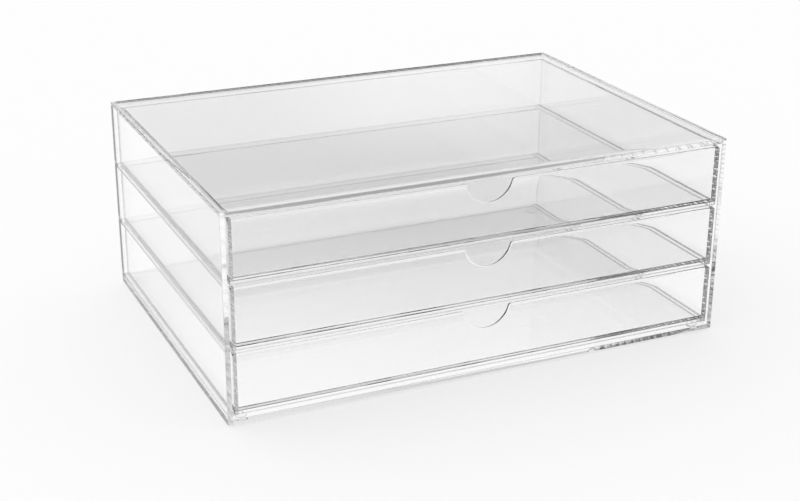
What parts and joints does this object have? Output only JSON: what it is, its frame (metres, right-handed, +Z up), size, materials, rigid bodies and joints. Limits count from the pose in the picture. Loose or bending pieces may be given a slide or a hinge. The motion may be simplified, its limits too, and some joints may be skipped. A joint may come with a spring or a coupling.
{
  "type": "acrylic drawer unit",
  "caption": "Low, clear acrylic chest of equal drawers that slide on strips inside an open-fronted case, each with a rounded finger notch.",
  "frame": {"origin": "middle of the case in plan, on the surface that the feet stand on", "axes": "+X to the right seen from the front, +Y from the front to the back, +Z up"},
  "size_m": [0.328, 0.23, 0.13],
  "materials": {
    "case_acrylic": "clear polished acrylic sheet, 3 mm, with clear glued joints",
    "drawer_acrylic": "clear polished acrylic sheet, 2.5 mm, with clear glued joints and polished laser-cut notch edges",
    "foot_pad": "clear soft polyurethane pad"
  },
  "bodies": {
    "case": {"case_side_left": "case_acrylic", "case_side_right": "case_acrylic", "case_top": "case_acrylic", "case_base": "case_acrylic", "case_back": "case_acrylic", "drawer_1_strip_left": "case_acrylic", "drawer_1_strip_right": "case_acrylic", "drawer_2_strip_left": "case_acrylic", "drawer_2_strip_right": "case_acrylic", "drawer_3_strip_left": "case_acrylic", "drawer_3_strip_right": "case_acrylic", "foot_front_left": "foot_pad", "foot_front_right": "foot_pad", "foot_back_left": "foot_pad", "foot_back_right": "foot_pad"},
    "drawer_1": {"drawer_1_front": "drawer_acrylic", "drawer_1_back": "drawer_acrylic", "drawer_1_wall_left": "drawer_acrylic", "drawer_1_wall_right": "drawer_acrylic", "drawer_1_floor": "drawer_acrylic"},
    "drawer_2": {"drawer_2_front": "drawer_acrylic", "drawer_2_back": "drawer_acrylic", "drawer_2_wall_left": "drawer_acrylic", "drawer_2_wall_right": "drawer_acrylic", "drawer_2_floor": "drawer_acrylic"},
    "drawer_3": {"drawer_3_front": "drawer_acrylic", "drawer_3_back": "drawer_acrylic", "drawer_3_wall_left": "drawer_acrylic", "drawer_3_wall_right": "drawer_acrylic", "drawer_3_floor": "drawer_acrylic"}
  },
  "joints": [
    {"name": "drawer_1_slide", "type": "slide", "parent": "case", "child": "drawer_1", "axis": [0, -1, 0], "range_m": [0, 0.19]},
    {"name": "drawer_2_slide", "type": "slide", "parent": "case", "child": "drawer_2", "axis": [0, -1, 0], "range_m": [0, 0.19]},
    {"name": "drawer_3_slide", "type": "slide", "parent": "case", "child": "drawer_3", "axis": [0, -1, 0], "range_m": [0, 0.19]}
  ]
}
